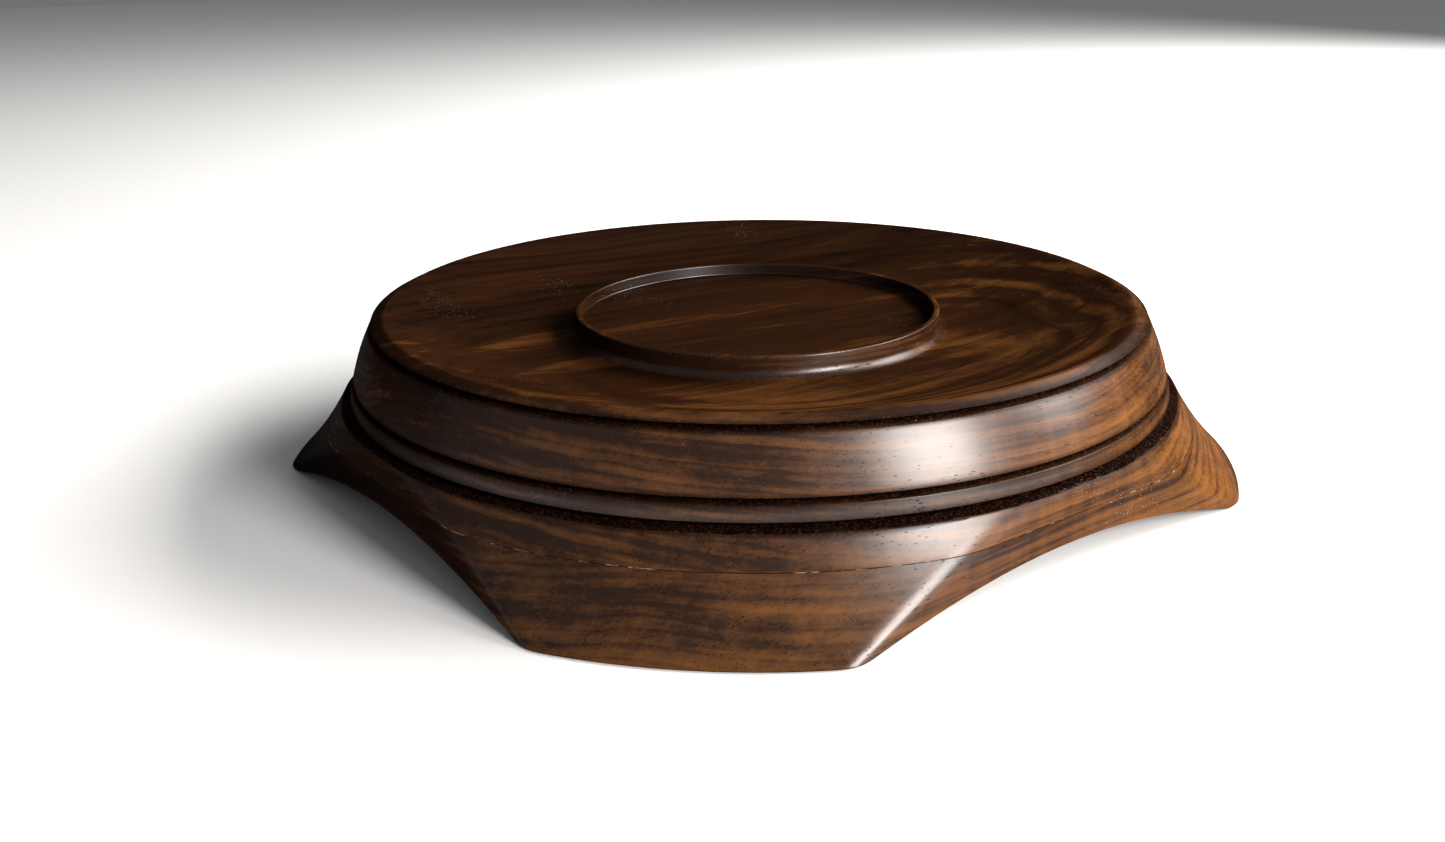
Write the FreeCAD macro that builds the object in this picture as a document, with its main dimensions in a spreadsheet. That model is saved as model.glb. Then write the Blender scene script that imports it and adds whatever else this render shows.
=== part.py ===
import FreeCAD, Part
import math
import os

import Sketcher

# A square-cornered turned walnut plate, lying rim down with its foot and ring uppermost.
# Millimetres, +Z up, origin under the middle of the plate on the surface its four corners rest on.
# Two walnut boards are glued face to face, turned as one block and bored out from below:
#   base_board  the round upper half: dished foot, raised ring, decorative grooves
#   glue_line   the film of glue between the boards, which shows as a line round the corners
#   rim_board   the flared rim, turned past the edges of the square blank so it ends in four corners
#   felt_pad    the pad glued to the floor of the well

DIMENSIONS = [
    # (alias, value, what it is)
    ("blank_width", 304.8, "side of the square blank: the four flats"),
    ("tip_overhang", 23.8, "corner circle, to which the rim is turned, beyond the flats"),
    ("rim_board_height", 21.2, "thickness of the lower board"),
    ("glue_thickness", 0.2, "glue film"),
    ("base_board_height", 38.6, "thickness of the upper board"),
    ("skirt_overhang", 0.9, "upper edge of the flared skirt beyond the flats"),
    ("skirt_curve", 125.0, "radius of the skirt's hollow sweep"),
    ("tip_edge_height", 0.8, "blunt edge at the corners"),
    ("tip_land", 2.0, "flat under the corners"),
    ("groove_three_ledge", 3.2, "skirt's upper edge outside the narrow band"),
    ("groove_three_height", 2.0, "third groove, above the skirt"),
    ("groove_three_back", 0.9, "height of its back wall"),
    ("groove_three_depth", 3.6, "depth under the narrow band"),
    ("narrow_band_height", 4.8, "height of the narrow band"),
    ("narrow_band_flare", 0.9, "how much wider its lower edge is"),
    ("groove_two_ledge", 0.7, "narrow band's upper edge outside the broad band"),
    ("groove_two_height", 2.0, "second groove"),
    ("groove_two_back", 0.9, "height of its back wall"),
    ("groove_two_depth", 3.2, "depth under the broad band"),
    ("main_band_height", 17.0, "height of the broad band"),
    ("main_band_flare", 6.8, "how much wider its lower edge is"),
    ("main_band_curve", 85.0, "radius of its crown"),
    ("groove_one_ledge", 0.7, "broad band's upper edge outside the lip band"),
    ("groove_one_height", 2.0, "first groove, below the lip band"),
    ("groove_one_back", 0.9, "height of its back wall"),
    ("groove_one_depth", 3.0, "depth under the lip band"),
    ("lip_band_height", 1.9, "height of the lip band"),
    ("lip_band_flare", 4.1, "how much wider its lower edge is"),
    ("lip_land", 1.0, "flat on top of the lip, which the plate stands on in use"),
    ("dish_depth", 12.6, "lip down to the foot of the ring"),
    ("ring_radius", 67.8, "outside of the raised ring"),
    ("ring_width", 2.0, "flat top of the ring"),
    ("ring_height", 8.0, "ring above the dish"),
    ("ring_cove", 3.6, "cove at the foot of the ring"),
    ("recess_depth", 4.4, "recess inside the ring"),
    ("floor_thickness", 8.4, "wood between the foot of the ring and the well"),
    ("flat_underside", 4.4, "underside of the rim, from a flat in to the mouth of the well"),
    ("well_mouth_height", 14.0, "edge where the well meets the rim's underside"),
    ("well_curve", 69.0, "radius of the well's side"),
    ("felt_clearance", 8.8, "felt pad's edge to the curve of the well"),
    ("felt_thickness", 3.0, "felt pad"),
    ("trim_margin", 10.0, "how far the sawn-away square reaches past the corners and the top"),
]

# Worked out from the dimensions above. The skirt is one arc from its top edge to the tip, and the
# well's side is one arc that runs level into the floor, so both boards are cut from the same curves.
DERIVED = [
    ("glue_bottom", "rim_board_height"),
    ("glue_top", "rim_board_height + glue_thickness"),
    ("plate_height", "glue_top + base_board_height"),
    ("tip_radius", "blank_width / 2 + tip_overhang"),
    ("skirt_top_radius", "blank_width / 2 + skirt_overhang"),
    ("narrow_band_bottom_radius", "skirt_top_radius - groove_three_ledge"),
    ("narrow_band_top_radius", "narrow_band_bottom_radius - narrow_band_flare"),
    ("main_band_bottom_radius", "narrow_band_top_radius - groove_two_ledge"),
    ("main_band_top_radius", "main_band_bottom_radius - main_band_flare"),
    ("lip_band_radius", "main_band_top_radius - groove_one_ledge"),
    ("lip_radius", "lip_band_radius - lip_band_flare"),
    ("well_mouth_radius", "blank_width / 2 - flat_underside"),
    ("lip_band_foot", "plate_height - lip_band_height"),
    ("main_band_head", "lip_band_foot - groove_one_height"),
    ("main_band_foot", "main_band_head - main_band_height"),
    ("narrow_band_head", "main_band_foot - groove_two_height"),
    ("narrow_band_foot", "narrow_band_head - narrow_band_height"),
    ("skirt_head", "narrow_band_foot - groove_three_height"),
    ("skirt_run", "tip_radius - skirt_top_radius"),
    ("skirt_fall", "skirt_head - tip_edge_height"),
    ("skirt_chord", "sqrt(skirt_run^2 + skirt_fall^2)"),
    ("skirt_offset", "sqrt(skirt_curve^2 - skirt_chord^2 / 4)"),
    ("skirt_centre_radius", "(tip_radius + skirt_top_radius) / 2 + skirt_offset * skirt_fall / skirt_chord"),
    ("skirt_centre_height", "(skirt_head + tip_edge_height) / 2 + skirt_offset * skirt_run / skirt_chord"),
    ("skirt_at_glue_top", "skirt_centre_radius - sqrt(skirt_curve^2 - (glue_top - skirt_centre_height)^2)"),
    ("skirt_at_glue_bottom",
     "skirt_centre_radius - sqrt(skirt_curve^2 - (glue_bottom - skirt_centre_height)^2)"),
    ("groove_one_floor_radius", "lip_band_radius - groove_one_depth"),
    ("groove_one_back_foot", "lip_band_foot - groove_one_back"),
    ("groove_two_floor_radius", "main_band_bottom_radius - groove_two_depth"),
    ("groove_two_back_foot", "main_band_foot - groove_two_back"),
    ("groove_three_floor_radius", "narrow_band_bottom_radius - groove_three_depth"),
    ("groove_three_back_foot", "narrow_band_foot - groove_three_back"),
    ("dish_floor", "plate_height - dish_depth"),
    ("ring_top", "dish_floor + ring_height"),
    ("ring_bore", "ring_radius - ring_width"),
    ("ring_cove_head", "dish_floor + ring_cove"),
    ("recess_floor", "ring_top - recess_depth"),
    ("dish_inner_radius", "ring_radius + ring_cove"),
    ("dish_outer_radius", "lip_radius - lip_land"),
    ("dish_run", "dish_outer_radius - dish_inner_radius"),
    ("dish_curve", "(dish_run^2 + dish_depth^2) / (2 * dish_depth)"),
    ("well_floor", "dish_floor - floor_thickness"),
    ("well_centre_height", "well_floor - well_curve"),
    ("well_floor_radius",
     "well_mouth_radius - sqrt(well_curve^2 - (well_mouth_height - well_centre_height)^2)"),
    ("well_at_glue_top", "well_floor_radius + sqrt(well_curve^2 - (glue_top - well_centre_height)^2)"),
    ("well_at_glue_bottom", "well_floor_radius + sqrt(well_curve^2 - (glue_bottom - well_centre_height)^2)"),
    ("tip_land_outer", "tip_radius - tip_edge_height"),
    ("tip_land_inner", "tip_land_outer - tip_land"),
    ("felt_radius", "well_floor_radius - felt_clearance"),
    ("felt_face", "well_floor - felt_thickness"),
    ("trim_width", "2 * (tip_radius + trim_margin)"),
]


def fill_sheet(doc):
    """The driving dimensions as plain numbers, then the derived ones as formulas."""
    sheet = doc.addObject("Spreadsheet::Sheet", "Dims")
    row = 1
    for alias, value, meaning in DIMENSIONS:
        sheet.set(f"A{row}", alias)
        sheet.set(f"B{row}", str(value))
        sheet.set(f"C{row}", meaning)
        sheet.setAlias(f"B{row}", alias)
        row += 1
    doc.recompute()
    for alias, formula in DERIVED:
        sheet.set(f"A{row}", alias)
        sheet.set(f"B{row}", f"={formula}")
        sheet.setAlias(f"B{row}", alias)
        doc.recompute()
        row += 1
    return sheet


def origin_plane(body, role):
    return next(item for item in body.Origin.OriginFeatures if item.Role == role)


def new_sketch(body, name, role):
    sketch = body.newObject("Sketcher::SketchObject", name)
    sketch.AttachmentSupport = [(origin_plane(body, role), "")]
    sketch.MapMode = "FlatFace"
    return sketch


def arc_between(start, end, radius, side):
    """Arc from start to end; side +1 puts its centre to the left of the way from start to end."""
    chord = end - start
    half = chord.Length / 2
    left = FreeCAD.Vector(-chord.y, chord.x, 0).normalize()
    middle = (start + end) / 2
    centre = middle + left * side * math.sqrt(radius ** 2 - half ** 2)
    crown = centre - left * side * radius
    return Part.Arc(start, crown, end)


def pin_point(sketch, edge, end, word, across, up):
    """Hold one point at (across, up), each the name of a cell or 0 for an axis."""
    for kind, axis, cell in (("DistanceX", -2, across), ("DistanceY", -1, up)):
        if cell == "0":
            sketch.addConstraint(Sketcher.Constraint("PointOnObject", edge, end, axis))
            continue
        value = getattr(sketch.Document.Dims, cell)
        index = sketch.addConstraint(Sketcher.Constraint(kind, edge, end, value))
        name = f"{word}_{kind[-1].lower()}"
        sketch.renameConstraint(index, name)
        sketch.setExpression(f"Constraints.{name}", f"Dims.{cell}")


def draw_profile(sketch, points, curves):
    """Closed outline of (word, cell across, cell up) points, joined by lines or by the given arcs.

    curves holds (cell of the radius, side) under the word of the point that the arc starts from.
    """
    sheet = sketch.Document.Dims
    same_place = 1e-6

    def number(cell):
        return 0.0 if cell == "0" else float(getattr(sheet, cell))

    places = [FreeCAD.Vector(number(across), number(up), 0) for _, across, up in points]
    ends = []
    for index, (word, _, _) in enumerate(points):
        start = places[index]
        finish = places[(index + 1) % len(points)]
        if word not in curves:
            edge = sketch.addGeometry(Part.LineSegment(start, finish))
            ends.append((edge, 1, 2))
            continue
        cell, side = curves[word]
        edge = sketch.addGeometry(arc_between(start, finish, number(cell), side))
        first = sketch.getPoint(edge, 1)
        ends.append((edge, 1, 2) if first.distanceToPoint(start) < same_place else (edge, 2, 1))
        held = sketch.addConstraint(Sketcher.Constraint("Radius", edge, number(cell)))
        sketch.renameConstraint(held, f"{word}_radius")
        sketch.setExpression(f"Constraints.{word}_radius", f"Dims.{cell}")
    for index, (edge, first, _) in enumerate(ends):
        before, _, last = ends[index - 1]
        sketch.addConstraint(Sketcher.Constraint("Coincident", before, last, edge, first))
    for (edge, first, _), (word, across, up) in zip(ends, points):
        pin_point(sketch, edge, first, word, across, up)


def turn(body, name, points, curves=None):
    """A solid turned about the Z axis from its half section."""
    sketch = new_sketch(body, f"{name}_section", "XZ_Plane")
    draw_profile(sketch, points, curves or {})
    body.Document.recompute()
    feature = body.newObject("PartDesign::Revolution", f"{name}_turned")
    feature.Profile = sketch
    feature.ReferenceAxis = (sketch, ["V_Axis"])
    feature.Angle = 360
    body.Document.recompute()
    return feature


def draw_square(sketch, word, cell):
    """A square centred on the origin with sides of the given cell."""
    half = float(getattr(sketch.Document.Dims, cell)) / 2
    corners = [(-half, -half), (half, -half), (half, half), (-half, half)]
    places = [FreeCAD.Vector(x, y, 0) for x, y in corners]
    first = sketch.GeometryCount
    for index, place in enumerate(places):
        sketch.addGeometry(Part.LineSegment(place, places[(index + 1) % 4]))
    for index in range(4):
        after = first + (index + 1) % 4
        sketch.addConstraint(Sketcher.Constraint("Coincident", first + index, 2, after, 1))
        kind = "Horizontal" if index % 2 == 0 else "Vertical"
        sketch.addConstraint(Sketcher.Constraint(kind, first + index))
    sketch.addConstraint(Sketcher.Constraint("Symmetric", first, 1, first + 2, 1, -1, 1))
    for kind, edge, tag in (("DistanceX", first, "wide"), ("DistanceY", first + 1, "deep")):
        held = sketch.addConstraint(Sketcher.Constraint(kind, edge, 1, edge, 2, 2 * half))
        sketch.renameConstraint(held, f"{word}_{tag}")
        sketch.setExpression(f"Constraints.{word}_{tag}", f"Dims.{cell}")


def saw_flats(body, name):
    """The faces of the square blank: all that stands outside it is cut away."""
    turned = body.Shape.Volume
    smallest_cut = 1.0
    sketch = new_sketch(body, f"{name}_blank", "XY_Plane")
    draw_square(sketch, "trim", "trim_width")
    draw_square(sketch, "blank", "blank_width")
    body.Document.recompute()
    feature = body.newObject("PartDesign::Pocket", f"{name}_flats")
    feature.Profile = sketch
    feature.Type = "Length"
    feature.Reversed = True
    feature.setExpression("Length", "Dims.plate_height + Dims.trim_margin")
    body.Document.recompute()
    if body.Shape.Volume > turned - smallest_cut:
        raise RuntimeError(f"{name}: the flats cut nothing")
    return feature


def make_base_board(doc):
    body = doc.addObject("PartDesign::Body", "base_board")
    groove_cells = [
        ("one", "lip_band_radius", "lip_band_foot", "main_band_top_radius", "main_band_head"),
        ("two", "main_band_bottom_radius", "main_band_foot", "narrow_band_top_radius",
         "narrow_band_head"),
        ("three", "narrow_band_bottom_radius", "narrow_band_foot", "skirt_top_radius", "skirt_head"),
    ]
    points = [
        ("centre_top", "0", "recess_floor"),
        ("recess_corner", "ring_bore", "recess_floor"),
        ("ring_inside", "ring_bore", "ring_top"),
        ("ring_outside", "ring_radius", "ring_top"),
        ("ring_foot", "ring_radius", "ring_cove_head"),
        ("dish_middle", "dish_inner_radius", "dish_floor"),
        ("dish_edge", "dish_outer_radius", "plate_height"),
        ("lip_edge", "lip_radius", "plate_height"),
    ]
    for word, upper_radius, upper_height, lower_radius, lower_height in groove_cells:
        points += [
            (f"groove_{word}_upper", upper_radius, upper_height),
            (f"groove_{word}_roof", f"groove_{word}_floor_radius", upper_height),
            (f"groove_{word}_foot", f"groove_{word}_floor_radius", f"groove_{word}_back_foot"),
            (f"groove_{word}_lower", lower_radius, lower_height),
        ]
    points += [
        ("skirt_cut", "skirt_at_glue_top", "glue_top"),
        ("well_cut", "well_at_glue_top", "glue_top"),
        ("well_corner", "well_floor_radius", "well_floor"),
        ("centre_bottom", "0", "well_floor"),
    ]
    curves = {
        "ring_foot": ("ring_cove", 1),
        "dish_middle": ("dish_curve", 1),
        "groove_one_lower": ("main_band_curve", -1),
        "groove_three_lower": ("skirt_curve", 1),
        "well_cut": ("well_curve", 1),
    }
    turn(body, "base_board", points, curves)
    saw_flats(body, "base_board")
    return body


def make_glue_line(doc):
    body = doc.addObject("PartDesign::Body", "glue_line")
    turn(body, "glue_line", [
        ("inner_top", "well_at_glue_top", "glue_top"),
        ("outer_top", "skirt_at_glue_top", "glue_top"),
        ("outer_bottom", "skirt_at_glue_bottom", "glue_bottom"),
        ("inner_bottom", "well_at_glue_bottom", "glue_bottom"),
    ])
    saw_flats(body, "glue_line")
    return body


def make_rim_board(doc):
    body = doc.addObject("PartDesign::Body", "rim_board")
    points = [
        ("skirt_cut", "skirt_at_glue_bottom", "glue_bottom"),
        ("tip", "tip_radius", "tip_edge_height"),
        ("land_outside", "tip_land_outer", "0"),
        ("land_inside", "tip_land_inner", "0"),
        ("well_mouth", "well_mouth_radius", "well_mouth_height"),
        ("well_cut", "well_at_glue_bottom", "glue_bottom"),
    ]
    curves = {
        "skirt_cut": ("skirt_curve", 1),
        "well_mouth": ("well_curve", 1),
    }
    turn(body, "rim_board", points, curves)
    saw_flats(body, "rim_board")
    return body


def make_felt_pad(doc):
    body = doc.addObject("PartDesign::Body", "felt_pad")
    turn(body, "felt_pad", [
        ("centre_top", "0", "well_floor"),
        ("edge_top", "felt_radius", "well_floor"),
        ("edge_bottom", "felt_radius", "felt_face"),
        ("centre_bottom", "0", "felt_face"),
    ])
    return body


def check(doc, bodies):
    for item in doc.Objects:
        bad = [word for word in item.State if word in ("Invalid", "Error")]
        if bad:
            raise RuntimeError(f"{item.Name}: {bad}")
    for body in bodies:
        shape = body.Shape
        if shape.isNull() or not shape.isValid() or len(shape.Solids) != 1:
            raise RuntimeError(f"{body.Name}: not one valid solid")


def main():
    doc = FreeCAD.newDocument("offering_plate")
    fill_sheet(doc)
    bodies = [make_base_board(doc), make_glue_line(doc), make_rim_board(doc), make_felt_pad(doc)]
    for body in bodies:
        body.Label = body.Name
    doc.recompute()
    check(doc, bodies)
    os.makedirs("parts", exist_ok=True)
    for body in bodies:
        body.Shape.exportStep(f"parts/{body.Label}.step")
        box = body.Shape.BoundBox
        print(f"{body.Label}: {body.Shape.Volume / 1000:.1f} cm3, "
              f"z {box.ZMin:.2f} to {box.ZMax:.2f}, x {box.XMin:.2f} to {box.XMax:.2f}")


main()
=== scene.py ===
import math

import bpy
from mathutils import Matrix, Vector, noise


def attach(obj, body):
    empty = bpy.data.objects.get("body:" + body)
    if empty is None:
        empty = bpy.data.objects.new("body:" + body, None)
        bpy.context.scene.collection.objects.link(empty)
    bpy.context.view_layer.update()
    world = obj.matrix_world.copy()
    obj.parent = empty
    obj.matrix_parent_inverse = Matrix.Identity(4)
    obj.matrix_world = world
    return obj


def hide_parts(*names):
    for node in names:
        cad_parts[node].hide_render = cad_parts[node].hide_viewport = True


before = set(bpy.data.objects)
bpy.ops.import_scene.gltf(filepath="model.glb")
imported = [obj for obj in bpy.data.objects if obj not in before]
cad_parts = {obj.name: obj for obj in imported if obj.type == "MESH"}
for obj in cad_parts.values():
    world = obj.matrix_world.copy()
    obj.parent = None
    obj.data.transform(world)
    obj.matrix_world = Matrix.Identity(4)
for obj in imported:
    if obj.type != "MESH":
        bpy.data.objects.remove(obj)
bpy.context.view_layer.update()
mm = 0.001
exact = 1e-7       # how near to a cutting plane counts as on it


# selecting and editing

def clearSelection():
    for other in bpy.context.selected_objects:
        other.select_set(False)


def makeActive(piece):
    clearSelection()
    piece.select_set(True)
    bpy.context.view_layer.objects.active = piece


def copyPiece(piece, name):
    twin = piece.copy()
    twin.data = piece.data.copy()
    twin.name = name
    twin.data.name = name
    bpy.context.scene.collection.objects.link(twin)
    return twin


def startEdit(kind):
    bpy.ops.object.mode_set(mode="EDIT")
    bpy.ops.mesh.select_mode(type=kind)
    bpy.ops.mesh.select_all(action="SELECT")


def endEdit():
    bpy.ops.object.mode_set(mode="OBJECT")


def applyModifier(piece, name):
    makeActive(piece)
    bpy.ops.object.modifier_apply(modifier=name)


# the turned block that both boards are cut from

block = {
    "steps": 540,              # facets round the circle
    "glueBottom": 21.2,
    "glueTop": 21.4,
    "tornLedge": 0.34,         # how ragged the groove ledges are
    "tornLip": 0.08,           # and the edges above and below them
    "chip": (420, 1100),       # large and small chips to the metre
    "weld": 0.002,
    "smoothBelow": 38,         # degrees
}
rim = {
    "flatAt": 152.4,           # the four flats of the square blank
    "arris": 2.4,              # how softly each flat turns into the skirt
    "tipRadius": 176.2,        # corner circle
    "tipEdge": 0.8,
    "landInside": 173.4,       # flat under the corners
    "tipKept": 1.4,            # how much of the tip moves in as it is
    "skirtTop": 153.3,
    "skirtHeight": 30.3,
    "ledgeInside": 149.5,      # the third groove's ledge outside here is drawn in too
    "ledgeFrom": 30.0,         # and lies between these heights
    "ledgeTo": 31.3,
    "skirtFrom": 152.6,        # the skirt is outside and below these
    "skirtBelow": 30.1,
    "curve": 125.0,            # the skirt's hollow sweep and where its centre is
    "centreRadius": 262.383,
    "centreHeight": 91.340,
}
well = {"mouthRadius": 148.0, "mouthHeight": 14.0}

# Half section in millimetres: (radius, height, rounding of that corner), or an arc given as
# ("arc", end, radius, side, pieces); side +1 puts its centre to the left of the way along it.
section = [
    (0, 51.0, 0), (25, 51.0, 0), (50, 51.0, 0), (62, 51.0, 0),                      # recess
    (65.8, 51.0, 0.5), (65.8, 55.4, 0.5), (67.8, 55.4, 0.6), (67.8, 51.0, 0),       # ring
    ("arc", (71.4, 47.4), 3.6, 1, 8),
    ("arc", (135.9, 60.0), 171.4, 1, 32),                                           # dish
    (136.9, 60.0, 0.45), (139.0, 59.03, 0), (141.0, 58.1, 0.25),                    # lip band
    (138.0, 58.1, 0.2), (138.0, 57.2, 0.2), (139.8, 56.66, 0), (141.7, 56.1, 0.35),
    ("arc", (148.5, 39.1), 85.0, -1, 14),                                           # broad band
    (145.3, 39.1, 0.2), (145.3, 38.2, 0.2), (147.2, 37.66, 0), (149.2, 37.1, 0.35),
    (149.7, 34.6, 0), (150.1, 32.3, 0.25),                                          # narrow band
    (146.5, 32.3, 0.2), (146.5, 31.4, 0.2), (148.7, 31.04, 0), (151.0, 30.67, 0), (153.3, 30.3, 0.4),
    ("arc", (176.2, 0.8), 125.0, 1, 26),                                            # skirt
    (175.4, 0.0, 0.3), (173.4, 0.0, 0.3), (165.0, 4.63, 0), (157.0, 9.04, 0), (148.0, 14.0, 0.8),
    ("arc", (94.85, 39.0), 69.0, 1, 26),                                            # well
    (80, 39.0, 0), (40, 39.0, 0), (0, 39.0, 0),
]


def arcPoints(start, end, radius, side, pieces):
    start, end = Vector(start), Vector(end)
    half = (end - start) / 2
    left = Vector((-half.y, half.x)).normalized() * side
    centre = start + half + left * math.sqrt(radius ** 2 - half.length_squared)
    first = start - centre
    sweep = first.angle_signed(end - centre)
    points = []
    for index in range(1, pieces + 1):
        angle = -sweep * index / pieces
        turned = Vector((first.x * math.cos(angle) - first.y * math.sin(angle),
                         first.x * math.sin(angle) + first.y * math.cos(angle)))
        points.append((*(centre + turned), 0))
    return points


def wholeOutline():
    corners = []
    for item in section:
        if item[0] == "arc":
            _, end, radius, side, pieces = item
            corners += arcPoints(corners[-1][:2], end, radius, side, pieces)
        else:
            corners.append(item)
    outline = []
    for index, (across, up, rounding) in enumerate(corners):
        here = Vector((across, up))
        if rounding == 0:
            outline.append(here)
            continue
        before = (Vector(corners[index - 1][:2]) - here).normalized() * rounding
        after = (Vector(corners[index + 1][:2]) - here).normalized() * rounding
        for share in (0, 0.25, 0.5, 0.75, 1):
            outline.append(here + before * (1 - share) ** 2 + after * share ** 2)
    return outline


def turnBlock():
    outline = wholeOutline()
    clearSelection()
    bpy.ops.mesh.primitive_plane_add(size=0.01)
    piece = bpy.context.object
    piece.name = "turnedBlock"
    startEdit("VERT")
    bpy.ops.mesh.merge(type="CENTER")
    bpy.ops.transform.translate(value=(outline[0].x * mm, 0, outline[0].y * mm))
    for before, after in zip(outline, outline[1:]):
        move = ((after.x - before.x) * mm, 0, (after.y - before.y) * mm)
        bpy.ops.mesh.extrude_region_move(TRANSFORM_OT_translate={"value": move})
    bpy.ops.mesh.select_all(action="SELECT")
    bpy.ops.mesh.spin(steps=block["steps"], angle=2 * math.pi, center=(0, 0, 0), axis=(0, 0, 1))
    bpy.ops.mesh.select_all(action="SELECT")
    bpy.ops.mesh.remove_doubles(threshold=block["weld"] * mm)
    bpy.ops.mesh.normals_make_consistent(inside=False)
    endEdit()
    return piece


grooves = [
    # (inner radius, outer radius, bottom, top) of each cut
    (137.5, 142.0, 55.6, 58.6),
    (144.8, 149.5, 36.7, 39.5),
    (146.0, 153.6, 29.9, 32.7),
]


def tearGrooves(piece):
    # the cutter left the ledges torn, most of all in the end grain
    # the same marks say where the grooves and the wood just above and below them get painted shade
    tornAndShade = piece.data.attributes.new("tornAndShade", "FLOAT", "POINT")
    for point in piece.data.vertices:
        radius = math.hypot(point.co.x, point.co.y) / mm
        height = point.co.z / mm
        for inner, outer, bottom, top in grooves:
            if not (inner < radius < outer and bottom < height < top):
                continue
            outward = Vector((point.co.x, point.co.y, 0)).normalized()
            endGrain = abs(outward.y)
            onLedge = height < top - 0.75 and radius < outer - 0.65
            tornAndShade.data[point.index].value = 1.0 if onLedge or radius < inner + 1.4 else 0.75
            depth = block["tornLedge"] if onLedge else block["tornLip"]
            depth *= 0.65 + 0.6 * endGrain
            large, small = block["chip"]
            chip = noise.noise(point.co * large) + 0.6 * noise.noise(point.co * small)
            point.co.z += chip * depth * mm * (1.0 if onLedge else 0.5)
            point.co -= outward * (0.3 + 0.7 * chip) * depth * mm * 0.5


def undersideHeight(radius):
    # the rim's underside slopes from the land under the corners up to the mouth of the well
    slope = well["mouthHeight"] / (rim["landInside"] - well["mouthRadius"])
    return max(0.0, (rim["landInside"] - radius) * slope)


def skirtRadius(height):
    rise = rim["centreHeight"] - height
    return rim["centreRadius"] - math.sqrt(rim["curve"] ** 2 - rise ** 2)


def skirtHeight(radius):
    run = rim["centreRadius"] - radius
    return rim["centreHeight"] - math.sqrt(rim["curve"] ** 2 - run ** 2)


def softMin(first, second, blend):
    share = min(1.0, max(0.0, 0.5 + 0.5 * (second - first) / blend))
    return second * (1 - share) + first * share - blend * share * (1 - share)


def limit(value, low, high):
    return min(high, max(low, value))


def arrisHeight(flatRadius, bottom):
    # height at which the skirt meets the flat, kept off both ends so that no row of faces is crushed
    top = rim["skirtHeight"]
    inside = min(flatRadius, rim["tipRadius"])
    margin = (top - bottom) * 0.12
    height = limit(skirtHeight(max(inside, rim["skirtTop"])), bottom + margin, top - margin)
    beyond = limit((flatRadius - rim["tipRadius"]) / 9, 0, 1)
    return height * (1 - beyond) + (top + bottom) / 2 * beyond


def planeFlats(piece):
    # the square blank's four faces: each column of the rim that stands past one is drawn in to it
    for point in piece.data.vertices:
        radius = math.hypot(point.co.x, point.co.y) / mm
        height = point.co.z / mm
        onLedge = radius > rim["ledgeInside"] and rim["ledgeFrom"] < height < rim["ledgeTo"]
        onSkirt = radius > rim["skirtFrom"] and undersideHeight(radius) + 0.5 < height < rim["skirtBelow"]
        underneath = radius > well["mouthRadius"] and height < well["mouthHeight"]
        underneath = underneath and not onSkirt and not onLedge
        if not (onLedge or onSkirt or underneath):
            continue
        bearing = math.atan2(point.co.y, point.co.x)
        quarter = math.pi / 2
        offFlat = bearing - quarter * round(bearing / quarter)
        flatRadius = rim["flatAt"] / math.cos(offFlat)
        edge = softMin(rim["tipRadius"], flatRadius, rim["arris"])
        bottom = undersideHeight(edge) + rim["tipEdge"]
        if onLedge:
            newRadius = softMin(radius, flatRadius, rim["arris"] * 0.5)
            newHeight = height
        elif onSkirt:
            share = (rim["skirtHeight"] - height) / (rim["skirtHeight"] - rim["tipEdge"])
            corner = arrisHeight(flatRadius, bottom)
            if share < 0.5:
                newHeight = rim["skirtHeight"] + (corner - rim["skirtHeight"]) * share * 2
            else:
                newHeight = corner + (bottom - corner) * (share * 2 - 1)
            newRadius = softMin(skirtRadius(newHeight), flatRadius, rim["arris"])
        else:
            kept = rim["tipKept"]
            inward = rim["tipRadius"] - radius
            if inward < kept:
                newRadius = edge - inward
            else:
                span = rim["tipRadius"] - kept - well["mouthRadius"]
                newRadius = well["mouthRadius"] + (radius - well["mouthRadius"]) * (
                    edge - kept - well["mouthRadius"]) / span
            newHeight = undersideHeight(newRadius) + height - undersideHeight(radius)
        point.co.x *= newRadius / radius
        point.co.y *= newRadius / radius
        point.co.z = newHeight * mm


def partBlock(piece, name, low, high):
    # the slice of the block between two heights, closed where it is cut
    part = copyPiece(piece, name)
    makeActive(part)
    startEdit("VERT")
    if high is not None:
        bpy.ops.mesh.bisect(plane_co=(0, 0, high * mm), plane_no=(0, 0, 1), use_fill=True, clear_outer=True,
                            threshold=exact)
        bpy.ops.mesh.select_all(action="SELECT")
    if low is not None:
        bpy.ops.mesh.bisect(plane_co=(0, 0, low * mm), plane_no=(0, 0, 1), use_fill=True, clear_inner=True,
                            threshold=exact)
    bpy.ops.mesh.select_all(action="SELECT")
    bpy.ops.mesh.remove_doubles(threshold=0.003 * mm)
    bpy.ops.mesh.normals_make_consistent(inside=False)
    endEdit()
    return part


def finishShading(piece, degrees):
    makeActive(piece)
    bpy.ops.object.shade_smooth_by_angle(angle=math.radians(degrees))


def markForm(piece):
    # "form" is a half on flat wood, more on edges that stand proud and less in hollows
    mesh = piece.data
    places = [point.co.copy() for point in mesh.vertices]
    normals = [point.normal.copy() for point in mesh.vertices]
    pairs = [tuple(edge.vertices) for edge in mesh.edges]
    rise = [0.0] * len(places)
    count = [0] * len(places)
    for first, second in pairs:
        way = (places[second] - places[first]).normalized()
        rise[first] += way.dot(normals[first])
        rise[second] -= way.dot(normals[second])
        count[first] += 1
        count[second] += 1
    raw = [math.acos(limit(total / number, -1, 1)) / math.pi for total, number in zip(rise, count)]
    spread = list(raw)
    for first, second in pairs:
        spread[first] += raw[second]
        spread[second] += raw[first]
    form = mesh.attributes.new("form", "FLOAT", "POINT")
    form.data.foreach_set("value", [total / (number + 1) for total, number in zip(spread, count)])


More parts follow.
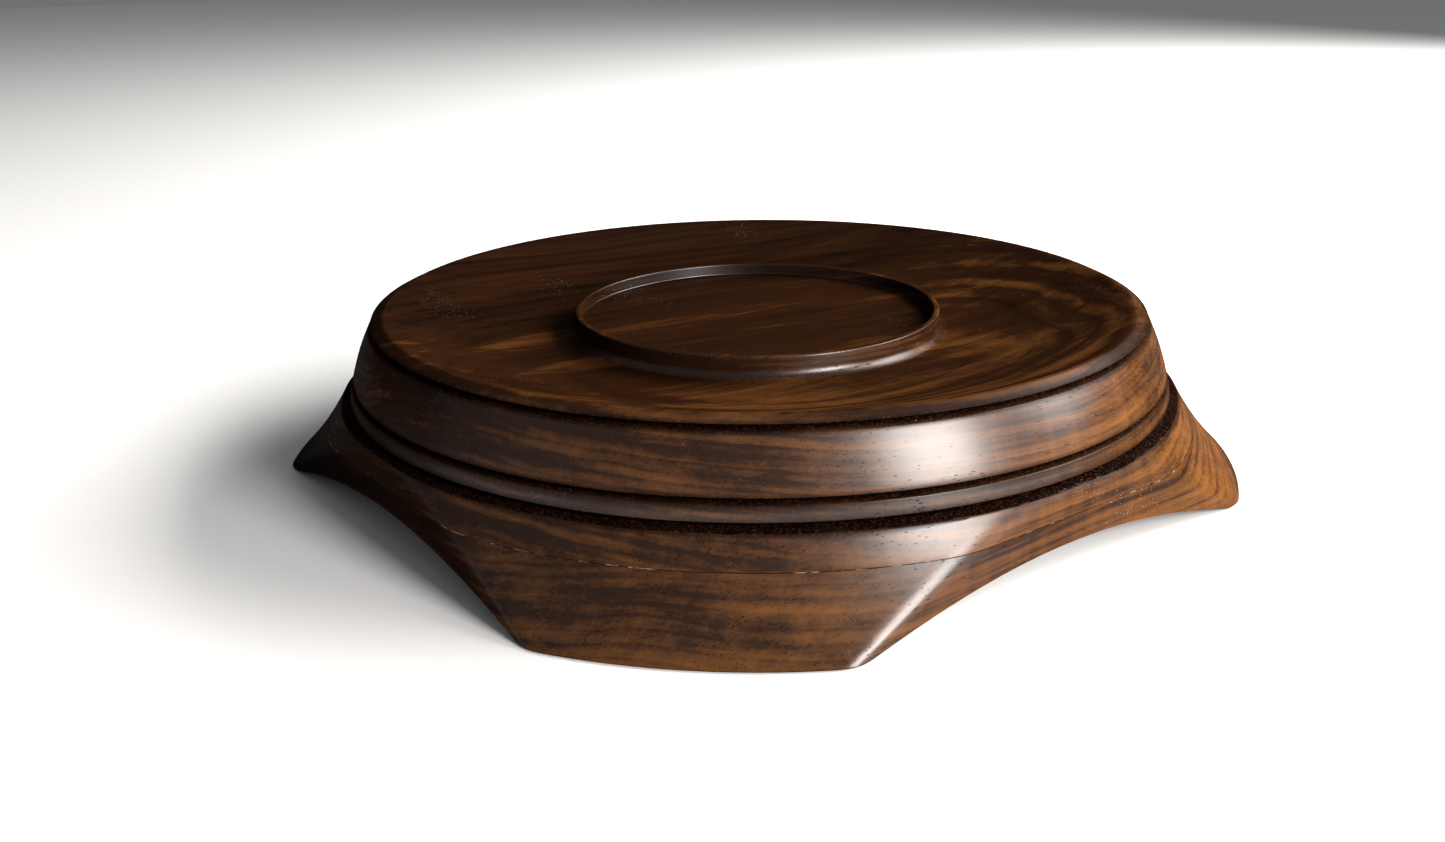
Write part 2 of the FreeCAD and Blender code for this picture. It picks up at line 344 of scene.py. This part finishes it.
turned = turnBlock()
print("turned", len(turned.data.vertices))
tearGrooves(turned)
planeFlats(turned)
print("flats planed")
upperBoard = partBlock(turned, "upperBoard", block["glueTop"], None)
lowerBoard = partBlock(turned, "lowerBoard", None, block["glueBottom"])
glueFilm = partBlock(turned, "glueFilm", block["glueBottom"], block["glueTop"])
bpy.data.objects.remove(turned)
for board in (upperBoard, lowerBoard):
    finishShading(board, block["smoothBelow"])
    markForm(board)
for piece in (upperBoard, lowerBoard, glueFilm):
    print(piece.name, sum(len(face.vertices) - 2 for face in piece.data.polygons), "triangles")


# the felt pad on the floor of the well

felt = {
    "radius": 86.05,
    "top": 39.0,               # glued to the floor of the well
    "face": 36.0,
    "edge": 0.9,
    "steps": 180,
    "rows": 12,                # rings of faces and their width
    "rowWidth": 6.5,
    "ripple": 0.12,
    "rippleScale": 45,
    "smoothBelow": 50,         # degrees
}


def layFelt():
    clearSelection()
    bpy.ops.mesh.primitive_circle_add(vertices=felt["steps"], radius=felt["radius"] * mm,
                                      fill_type="NGON", location=(0, 0, felt["top"] * mm))
    pad = bpy.context.object
    pad.name = "feltPad"
    bpy.ops.object.transform_apply(location=True, rotation=True, scale=True)
    startEdit("FACE")
    bpy.ops.mesh.extrude_region_move(
        TRANSFORM_OT_translate={"value": (0, 0, (felt["face"] - felt["top"]) * mm)})
    for row in range(felt["rows"]):
        bpy.ops.mesh.inset(thickness=felt["rowWidth"] * mm)
    bpy.ops.mesh.poke()
    bpy.ops.mesh.select_all(action="SELECT")
    bpy.ops.mesh.normals_make_consistent(inside=False)
    endEdit()
    soften = pad.modifiers.new("soften", "BEVEL")
    soften.limit_method = "ANGLE"
    soften.angle_limit = math.radians(60)
    soften.width = felt["edge"] * mm
    soften.segments = 3
    applyModifier(pad, "soften")
    for point in pad.data.vertices:
        if point.co.z < (felt["face"] + 1.5) * mm:
            point.co.z += (noise.noise(point.co * felt["rippleScale"]) + 1) * felt["ripple"] * mm
    finishShading(pad, felt["smoothBelow"])
    return pad


feltPad = layFelt()


# shader groups, built once and used by every board

def newGroup(name, inputs, outputs):
    group = bpy.data.node_groups.new(name, "ShaderNodeTree")
    for label, kind, value in inputs:
        socket = group.interface.new_socket(label, in_out="INPUT", socket_type=kind)
        if value is not None:
            socket.default_value = value
    for label, kind in outputs:
        group.interface.new_socket(label, in_out="OUTPUT", socket_type=kind)
    return group, group.nodes.new("NodeGroupInput"), group.nodes.new("NodeGroupOutput")


def addNode(tree, kind, settings=None, values=None):
    # values: {input name or number: a fixed value, or the socket that feeds it}
    node = tree.nodes.new(kind)
    for key, value in (settings or {}).items():
        setattr(node, key, value)
    for key, value in (values or {}).items():
        socket = node.inputs[key]
        if isinstance(value, bpy.types.NodeSocket):
            tree.links.new(value, socket)
        else:
            socket.default_value = value
    return node


def doMath(tree, operation, first, second=0.0, clamp=False):
    settings = {"operation": operation, "use_clamp": clamp}
    return addNode(tree, "ShaderNodeMath", settings, {0: first, 1: second}).outputs[0]


def addRamp(tree, factor, stops, smooth=False):
    node = addNode(tree, "ShaderNodeValToRGB", values={0: factor})
    node.color_ramp.interpolation = "EASE" if smooth else "LINEAR"
    while len(node.color_ramp.elements) < len(stops):
        node.color_ramp.elements.new(0.5)
    for element, (place, colour) in zip(node.color_ramp.elements, stops):
        element.position = place
        shade = (colour,) * 3 if isinstance(colour, float) else colour
        element.color = (*shade, 1)
    return node.outputs[0]


def mixColour(tree, share, first, second):
    node = addNode(tree, "ShaderNodeMix", {"data_type": "RGBA"})
    for socket, value in ((node.inputs[0], share), (node.inputs[6], first), (node.inputs[7], second)):
        if isinstance(value, bpy.types.NodeSocket):
            tree.links.new(value, socket)
        elif isinstance(value, float):
            socket.default_value = value
        else:
            socket.default_value = (*value, 1)
    return node.outputs[2]


def addShare(tree, total, source, share):
    return doMath(tree, "ADD", total, doMath(tree, "MULTIPLY", source, share))


def lessShare(tree, value, source, share, clamp=False):
    # value, cut down where source is high
    return doMath(tree, "MULTIPLY", value, doMath(
        tree, "SUBTRACT", 1.0, doMath(tree, "MULTIPLY", source, share), clamp))


def scaleVector(tree, vector, scale):
    return addNode(tree, "ShaderNodeVectorMath", {"operation": "MULTIPLY"}, {0: vector, 1: scale}).outputs[0]


def addNoise(tree, vector, scale, detail=3.0, roughness=0.55, distortion=0.0):
    stretched = scaleVector(tree, vector, scale)
    node = addNode(tree, "ShaderNodeTexNoise", values={"Vector": stretched, "Scale": 1.0, "Detail": detail,
                                                       "Roughness": roughness, "Distortion": distortion})
    return node.outputs[0]


grain = {
    # scales are cells to the metre: across, along the grain, through the board
    "bend": (9, 2.2, 9),             # slow wander of the growth rings
    "bendDepth": 0.018,
    "streak": (24, 5.0, 240),        # colour streaks, laid in the growth rings
    "drift": (11, 2.0, 11),          # slow change of tone through the board
    "thread": (170, 4.5, 170),       # finer streaks that lie along the grain only
    "ribbon": (9, 150, 14),          # curl that crosses the grain
    "fibre": (1100, 30, 1100),
    "pore": (1050, 120, 1050),
    "crowd": (60, 8, 60),            # where the pores crowd together
    "curlFrom": (0.06, 0.15),        # the curl comes in between these distances towards the light side
    "curlShare": (0.15, 1.0),
    # how much each adds to the tone
    "ringShare": 0.20,
    "streakShare": 0.26,
    "threadShare": 0.13,
    "yearShare": 0.10,
    "driftShare": 0.24,
    "fibreShare": 0.26,
    "poreStain": 0.72,
    "poreTone": (0.008, 0.004, 0.003),
}
woodTones = {
    "Dark": (0.0034, 0.0015, 0.0009, 1),
    "Middle": (0.0200, 0.0069, 0.0024, 1),
    "Light": (0.122, 0.0455, 0.0108, 1),
}


def makeGrainGroup():
    tree, given, made = newGroup(
        "walnutGrain",
        [("Vector", "NodeSocketVector", None), ("Middle of board", "NodeSocketVector", None),
         ("Pith across", "NodeSocketFloat", 0.02), ("Pith height", "NodeSocketFloat", -0.09),
         ("Ring spacing", "NodeSocketFloat", 0.009), ("Figure", "NodeSocketFloat", 0.5),
         ("Lit side lean", "NodeSocketFloat", 1.0)]
        + [(label, "NodeSocketColor", tone) for label, tone in woodTones.items()],
        [("Colour", "NodeSocketColor"), ("Pores", "NodeSocketFloat"), ("Height", "NodeSocketFloat")])
    place = given.outputs["Vector"]
    wander = addNode(tree, "ShaderNodeTexNoise", values={
        "Vector": scaleVector(tree, place, grain["bend"]), "Scale": 1.0, "Detail": 3.0, "Roughness": 0.5})
    offset = addNode(tree, "ShaderNodeVectorMath", {"operation": "SUBTRACT"},
                     {0: wander.outputs[1], 1: (0.5, 0.5, 0.5)}).outputs[0]
    offset = scaleVector(tree, offset, (grain["bendDepth"], 0, grain["bendDepth"]))
    bent = addNode(tree, "ShaderNodeVectorMath", {"operation": "ADD"}, {0: place, 1: offset}).outputs[0]
    parts = addNode(tree, "ShaderNodeSeparateXYZ", values={0: bent})
    middle = addNode(tree, "ShaderNodeSeparateXYZ", values={0: given.outputs["Middle of board"]})
    across = doMath(tree, "SUBTRACT", parts.outputs[0], given.outputs["Pith across"])
    up = doMath(tree, "SUBTRACT", parts.outputs[2], given.outputs["Pith height"])
    flat = addNode(tree, "ShaderNodeCombineXYZ", values={0: across, 1: 0.0, 2: up}).outputs[0]
    distance = addNode(tree, "ShaderNodeVectorMath", {"operation": "LENGTH"}, {0: flat}).outputs[1]
    # each year's ring: pale early wood, then a thin dark line of late wood
    phase = doMath(tree, "DIVIDE", distance, given.outputs["Ring spacing"])
    whole = doMath(tree, "FLOOR", phase)
    share = doMath(tree, "FRACT", phase)
    ring = addRamp(tree, share, [(0.0, 0.35), (0.15, 0.60), (0.55, 0.66),
                                 (0.86, 0.30), (0.96, 0.08), (1.0, 0.35)])
    yearTone = addNode(tree, "ShaderNodeTexWhiteNoise", {"noise_dimensions": "1D"}, {"W": whole}).outputs[0]
    layered = addNode(tree, "ShaderNodeCombineXYZ",
                      values={0: across, 1: parts.outputs[1], 2: distance}).outputs[0]
    streak = addNoise(tree, layered, grain["streak"], 5.0, 0.62)
    streak = addRamp(tree, streak, [(0.38, 0.0), (0.62, 1.0)])
    thread = addNoise(tree, bent, grain["thread"], 4.0, 0.65)
    thread = addRamp(tree, thread, [(0.33, 0.0), (0.67, 1.0)])
    ribbon = addNoise(tree, layered, grain["ribbon"], 3.0, 0.55, 0.4)
    ribbon = addRamp(tree, ribbon, [(0.36, 0.0), (0.64, 1.0)], True)
    towardsLitSide = doMath(tree, "SUBTRACT", parts.outputs[0], middle.outputs[0])
    curl = addNode(tree, "ShaderNodeMapRange", values={
        0: towardsLitSide, 1: grain["curlFrom"][0], 2: grain["curlFrom"][1],
        3: grain["curlShare"][0], 4: grain["curlShare"][1]}).outputs[0]
    ribbonShare = doMath(tree, "MULTIPLY", doMath(tree, "SUBTRACT", ribbon, 0.5), given.outputs["Figure"])
    ribbonShare = doMath(tree, "MULTIPLY", ribbonShare, curl)
    drift = addRamp(tree, addNoise(tree, bent, grain["drift"], 2.0), [(0.38, 0.0), (0.62, 1.0)])
    tone = doMath(tree, "MULTIPLY", ring, grain["ringShare"])
    for source, name in ((streak, "streakShare"), (thread, "threadShare"), (yearTone, "yearShare"),
                         (drift, "driftShare")):
        tone = addShare(tree, tone, source, grain[name])
    # painted light: the tone grows lighter towards +X, the side the lamps stand on, partly a colour drift
    # across the board
    tone = addShare(tree, tone, towardsLitSide, given.outputs["Lit side lean"])
    tone = doMath(tree, "ADD", tone, ribbonShare)
    fibre = addNoise(tree, place, grain["fibre"], 2.0, 0.6)
    tone = addShare(tree, tone, doMath(tree, "SUBTRACT", fibre, 0.5), grain["fibreShare"])
    colour = mixColour(tree, addRamp(tree, tone, [(0.14, 0.0), (0.62, 1.0)]),
                       given.outputs["Dark"], given.outputs["Middle"])
    colour = mixColour(tree, addRamp(tree, tone, [(0.57, 0.0), (1.08, 1.0)]), colour, given.outputs["Light"])
    cells = addNode(tree, "ShaderNodeTexVoronoi", {"feature": "F1"}, {
        "Vector": scaleVector(tree, place, grain["pore"]), "Scale": 1.0, "Randomness": 1.0})
    crowd = addNoise(tree, bent, grain["crowd"], 2.0)
    reach = addRamp(tree, crowd, [(0.35, 0.12), (0.7, 0.29)])
    pores = doMath(tree, "MULTIPLY", doMath(tree, "SUBTRACT", reach, cells.outputs["Distance"]), 9.0, True)
    colour = mixColour(tree, doMath(tree, "MULTIPLY", pores, grain["poreStain"]), colour, grain["poreTone"])
    height = doMath(tree, "SUBTRACT", doMath(tree, "MULTIPLY", fibre, 0.35), pores)
    for label, source in (("Colour", colour), ("Pores", pores), ("Height", height)):
        tree.links.new(source, made.inputs[label])
    return tree


polish = {
    "crumb": (1500, 500, 1500),      # crumbs to the metre
    "crumbSize": 0.13,
    "patch": (22, 22, 60),           # and the patches they lie in
    "amount": 0.8,
    "tone": (0.55, 0.48, 0.40),
}


def makeWaxGroup():
    # crumbs of polish left in pores, grooves and along the joint
    tree, given, made = newGroup(
        "waxCrumbs",
        [("Vector", "NodeSocketVector", None), ("Amount", "NodeSocketFloat", 0.5)],
        [("Mask", "NodeSocketFloat")])
    cells = addNode(tree, "ShaderNodeTexVoronoi", {"feature": "F1"}, {
        "Vector": scaleVector(tree, given.outputs["Vector"], polish["crumb"]), "Scale": 1.0})
    patch = addNoise(tree, given.outputs["Vector"], polish["patch"], 2.0)
    patch = addRamp(tree, patch, [(0.58, 0.0), (0.71, 1.0)])
    inside = doMath(tree, "SUBTRACT", polish["crumbSize"], cells.outputs["Distance"])
    dots = doMath(tree, "MULTIPLY", inside, 14.0, True)
    mask = doMath(tree, "MULTIPLY", doMath(tree, "MULTIPLY", dots, patch), given.outputs["Amount"])
    tree.links.new(mask, made.inputs["Mask"])
    return tree


def makeWearHighlightShadeGroup():
    # handled edges are burnished lighter, with a painted highlight on them too; hollows get painted shade
    tree, given, made = newGroup(
        "edgeWearHighlightShade",
        [("Vector", "NodeSocketVector", None), ("Strength", "NodeSocketFloat", 0.5)],
        [("EdgeWearHighlight", "NodeSocketFloat"), ("HollowShade", "NodeSocketFloat")])
    form = addNode(tree, "ShaderNodeAttribute", {"attribute_name": "form"}).outputs["Fac"]
    broken = addNoise(tree, given.outputs["Vector"], (70, 40, 70), 3.0)
    edge = addRamp(tree, form, [(0.51, 0.0), (0.58, 1.0)])
    edge = doMath(tree, "MULTIPLY", doMath(tree, "MULTIPLY", edge, broken), given.outputs["Strength"])
    hollow = addRamp(tree, form, [(0.42, 1.0), (0.492, 0.0)])
    hollow = doMath(tree, "MULTIPLY", hollow, given.outputs["Strength"])
    tree.links.new(edge, made.inputs["EdgeWearHighlight"])
    tree.links.new(hollow, made.inputs["HollowShade"])
    return tree


grainGroup = makeGrainGroup()
waxGroup = makeWaxGroup()
wearHighlightShadeGroup = makeWearHighlightShadeGroup()


def newMaterial(name):
    material = bpy.data.materials.new(name)
    material.use_nodes = True
    return material, material.node_tree, material.node_tree.nodes["Principled BSDF"]


def placeGroup(tree, group, values):
    node = tree.nodes.new("ShaderNodeGroup")
    node.node_tree = group
    for key, value in values.items():
        if isinstance(value, bpy.types.NodeSocket):
            tree.links.new(value, node.inputs[key])
        else:
            node.inputs[key].default_value = value
    return node


walnut = {
    # lean: how much lighter each metre towards +X is, counted from lightSide; this is painted light on the
    # lit +X side, partly a colour drift across the board; shift and tilt: where in the tree the board was
    # cut; pith: the heart of the tree, across and up; spacing: growth rings
    "walnutUpper": {"litSideLean": 2.1, "lightSide": 0.012, "shift": (0.31, 0.12, 0.0), "tilt": (1.5, 1.0, 4.0),
                    "pith": (0.070, -0.60), "spacing": 0.0030, "figure": 0.09},
    "walnutLower": {"litSideLean": 2.1, "lightSide": 0.048, "shift": (1.37, 0.64, 0.2), "tilt": (-1.5, -1.0, -3.0),
                    "pith": (0.100, -0.60), "spacing": 0.0027, "figure": 0.12},
}
finish = {
    "wearHighlightShade": 0.6,
    # the lighter edge colour is wear plus a painted highlight; the hollow colour is painted shade
    "wornHighlight": (0.14, 0.056, 0.020),
    "hollow": (0.0035, 0.0019, 0.0014),
    # painted shade in the grooves, and the lighter chips of torn grain
    "grooveShadeDark": (0.0018, 0.0010, 0.0008),
    "tornLight": (0.050, 0.018, 0.010),
    "chip": (1400, 900, 1400),
    "smear": (30, 30, 30),
    "roughness": 0.42,
    "bumpStrength": 0.55,
    "bumpDepth": 0.00012,
    "coatRoughness": 0.30,
}


def makeWalnut(name):
    facts = walnut[name]
    material, tree, shader = newMaterial(name)
    place = addNode(tree, "ShaderNodeTexCoord").outputs["Object"]
    board = addNode(tree, "ShaderNodeMapping", values={
        "Vector": place, "Rotation": [math.radians(angle) for angle in facts["tilt"]],
        "Location": facts["shift"]}).outputs[0]
    middle = (facts["shift"][0] + facts["lightSide"], *facts["shift"][1:])
    grown = placeGroup(tree, grainGroup, {
        "Vector": board, "Middle of board": middle, "Pith across": facts["pith"][0] + facts["shift"][0],
        "Pith height": facts["pith"][1] + facts["shift"][2],
        "Ring spacing": facts["spacing"], "Figure": facts["figure"], "Lit side lean": facts["litSideLean"]})

    wearHighlightShade = placeGroup(tree, wearHighlightShadeGroup, {"Vector": place, "Strength": finish["wearHighlightShade"]})
    wax = placeGroup(tree, waxGroup, {"Vector": place, "Amount": polish["amount"]})
    # proud edges: burnished wear and a painted highlight; hollows: painted shade
    colour = mixColour(tree, doMath(tree, "MULTIPLY", wearHighlightShade.outputs["EdgeWearHighlight"], 0.5), grown.outputs["Colour"],
                       finish["wornHighlight"])
    colour = mixColour(tree, doMath(tree, "MULTIPLY", wearHighlightShade.outputs["HollowShade"], 0.8), colour,
                       finish["hollow"])
    # groove ledges and their edges: torn grain painted almost black as painted shade, with lighter chips
    tornAndShade = addNode(tree, "ShaderNodeAttribute", {"attribute_name": "tornAndShade"}).outputs["Fac"]
    chips = addNoise(tree, place, finish["chip"], 3.0, 0.7)
    tornShadeTone = mixColour(tree, addRamp(tree, chips, [(0.52, 0.0), (0.72, 1.0)]),
                         finish["grooveShadeDark"], finish["tornLight"])
    colour = mixColour(tree, doMath(tree, "MULTIPLY", tornAndShade, 0.96), colour, tornShadeTone)
    colour = mixColour(tree, wax.outputs["Mask"], colour, polish["tone"])
    tree.links.new(colour, shader.inputs["Base Color"])
    smear = addNoise(tree, place, finish["smear"], 3.0)
    rough = addShare(tree, finish["roughness"], smear, 0.16)
    rough = addShare(tree, rough, grown.outputs["Pores"], 0.30)
    rough = addShare(tree, rough, wearHighlightShade.outputs["HollowShade"], 0.25)
    tree.links.new(rough, shader.inputs["Roughness"])
    relief = addShare(tree, grown.outputs["Height"], doMath(tree, "MULTIPLY", chips, tornAndShade), 9.0)
    bump = addNode(tree, "ShaderNodeBump", values={
        "Strength": finish["bumpStrength"], "Distance": finish["bumpDepth"], "Height": relief})
    tree.links.new(bump.outputs[0], shader.inputs["Normal"])
    # the oiled surface is glossy face on and dull at a glancing angle
    facing = addNode(tree, "ShaderNodeLayerWeight", values={"Blend": 0.5}).outputs["Facing"]
    gloss = addRamp(tree, facing, [(0.15, 1.0), (0.32, 0.58), (0.44, 0.15), (0.62, 0.03)])
    gloss = lessShare(tree, gloss, grown.outputs["Pores"], 0.8)
    gloss = doMath(tree, "MULTIPLY", gloss, addShare(tree, 0.75, smear, 0.5))
    gloss = lessShare(tree, gloss, tornAndShade, 0.7)
    gloss = lessShare(tree, gloss, wearHighlightShade.outputs["EdgeWearHighlight"], 2.2, True)
    tree.links.new(gloss, shader.inputs["Coat Weight"])
    shader.inputs["Coat Roughness"].default_value = finish["coatRoughness"]
    shader.inputs["Specular IOR Level"].default_value = 0.0
    return material


glueTones = {
    "dark": (0.006, 0.003, 0.002),
    "pale": (0.24, 0.18, 0.12),      # squeezed out and dried, in places
}


def makeGlue():
    material, tree, shader = newMaterial("glueDried")
    place = addNode(tree, "ShaderNodeTexCoord").outputs["Object"]
    tone = addNoise(tree, place, (260, 260, 900), 3.0)
    stain = addNoise(tree, place, (30, 30, 30), 2.0)
    colour = mixColour(tree, addRamp(tree, tone, [(0.50, 0.0), (0.61, 1.0)]),
                       glueTones["dark"], glueTones["pale"])
    colour = mixColour(tree, addRamp(tree, stain, [(0.36, 0.0), (0.52, 1.0)]), colour, glueTones["dark"])
    tree.links.new(colour, shader.inputs["Base Color"])
    tree.links.new(addRamp(tree, tone, [(0.3, 0.35), (0.7, 0.6)]), shader.inputs["Roughness"])
    shader.inputs["Specular IOR Level"].default_value = 0.0
    bump = addNode(tree, "ShaderNodeBump", values={"Strength": 0.5, "Distance": 0.0001, "Height": tone})
    tree.links.new(bump.outputs[0], shader.inputs["Normal"])
    return material


feltTones = {
    "deep": (0.050, 0.0035, 0.006),
    "pale": (0.15, 0.011, 0.019),
    "cloud": (0.075, 0.005, 0.009),
    "sheen": 0.06,
}


def makeFelt():
    material, tree, shader = newMaterial("burgundyFelt")
    place = addNode(tree, "ShaderNodeTexCoord").outputs["Object"]
    nap = addNoise(tree, place, (900, 900, 900), 5.0, 0.75, 1.2)
    cloud = addNoise(tree, place, (28, 28, 28), 3.0)
    colour = mixColour(tree, addRamp(tree, nap, [(0.32, 0.0), (0.68, 1.0)]),
                       feltTones["deep"], feltTones["pale"])
    colour = mixColour(tree, doMath(tree, "MULTIPLY", cloud, 0.35), colour, feltTones["cloud"])
    tree.links.new(colour, shader.inputs["Base Color"])
    tree.links.new(addRamp(tree, nap, [(0.3, 0.86), (0.7, 0.98)]), shader.inputs["Roughness"])
    bump = addNode(tree, "ShaderNodeBump", values={"Strength": 0.9, "Distance": 0.0005, "Height": nap})
    tree.links.new(bump.outputs[0], shader.inputs["Normal"])
    shader.inputs["Sheen Weight"].default_value = feltTones["sheen"]
    shader.inputs["Sheen Roughness"].default_value = 0.5
    return material


def finishPiece(piece, material, node):
    piece.data.materials.clear()
    piece.data.materials.append(material)
    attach(piece, "root")
    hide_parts(node)


finishPiece(upperBoard, makeWalnut("walnutUpper"), "base_board")
finishPiece(lowerBoard, makeWalnut("walnutLower"), "rim_board")
finishPiece(glueFilm, makeGlue(), "glue_line")
finishPiece(feltPad, makeFelt(), "felt_pad")
print("materials set")


# floor, lights and camera

floor = {"size": 9.0, "colour": (0.90, 0.895, 0.885), "speck": (0.78, 0.77, 0.76), "roughness": 0.6}


def layFloor():
    clearSelection()
    bpy.ops.mesh.primitive_plane_add(size=floor["size"], location=(0, 0, 0))
    ground = bpy.context.object
    ground.name = "floor"
    material, tree, shader = newMaterial("paleFloor")
    place = addNode(tree, "ShaderNodeTexCoord").outputs["Object"]
    speck = addNoise(tree, place, (40, 40, 40), 4.0)
    colour = mixColour(tree, doMath(tree, "MULTIPLY", speck, 0.06), floor["colour"], floor["speck"])
    tree.links.new(colour, shader.inputs["Base Color"])
    shader.inputs["Roughness"].default_value = floor["roughness"]
    ground.data.materials.append(material)


lights = {
    # name: (bearing from +X towards +Y, height angle, distance, (width, height), watts, colour)
    "window": (72, 27, 1.7, (1.9, 1.1), 116, (1.0, 0.98, 0.95)),
    "sideWindow": (6, 19, 1.3, (0.45, 0.60), 27, (1.0, 0.97, 0.95)),
}
aim = Vector((0, 0, 0.03))
room = {"colour": (0.95, 0.97, 1.0, 1), "strength": 0.17}
camera = {
    "place": (0.38568, -0.30772, 0.18550),
    "turn": (70.2915, 0.7122, 52.7107),
    "lens": 33.73,
    "sensor": 36,
    "nearest": 0.01,
}


def hangLights():
    for name, (bearing, rise, distance, size, watts, colour) in lights.items():
        bearing, rise = math.radians(bearing), math.radians(rise)
        place = aim + distance * Vector((math.cos(bearing) * math.cos(rise),
                                         math.sin(bearing) * math.cos(rise), math.sin(rise)))
        data = bpy.data.lights.new(name, "AREA")
        data.shape = "RECTANGLE"
        data.size, data.size_y = size
        data.energy = watts
        data.color = colour
        lamp = bpy.data.objects.new(name, data)
        bpy.context.scene.collection.objects.link(lamp)
        lamp.location = place
        lamp.rotation_euler = (aim - place).to_track_quat("-Z", "Y").to_euler()
    world = bpy.data.worlds.new("room")
    bpy.context.scene.world = world
    world.use_nodes = True
    backdrop = world.node_tree.nodes["Background"]
    backdrop.inputs[0].default_value = room["colour"]
    backdrop.inputs[1].default_value = room["strength"]


def placeCamera():
    data = bpy.data.cameras.new("camera")
    data.sensor_width = camera["sensor"]
    data.lens = camera["lens"]
    data.clip_start = camera["nearest"]
    eye = bpy.data.objects.new("camera", data)
    bpy.context.scene.collection.objects.link(eye)
    eye.location = camera["place"]
    eye.rotation_euler = [math.radians(angle) for angle in camera["turn"]]
    bpy.context.scene.camera = eye


layFloor()
hangLights()
placeCamera()
bpy.context.scene.view_settings.view_transform = "Standard"
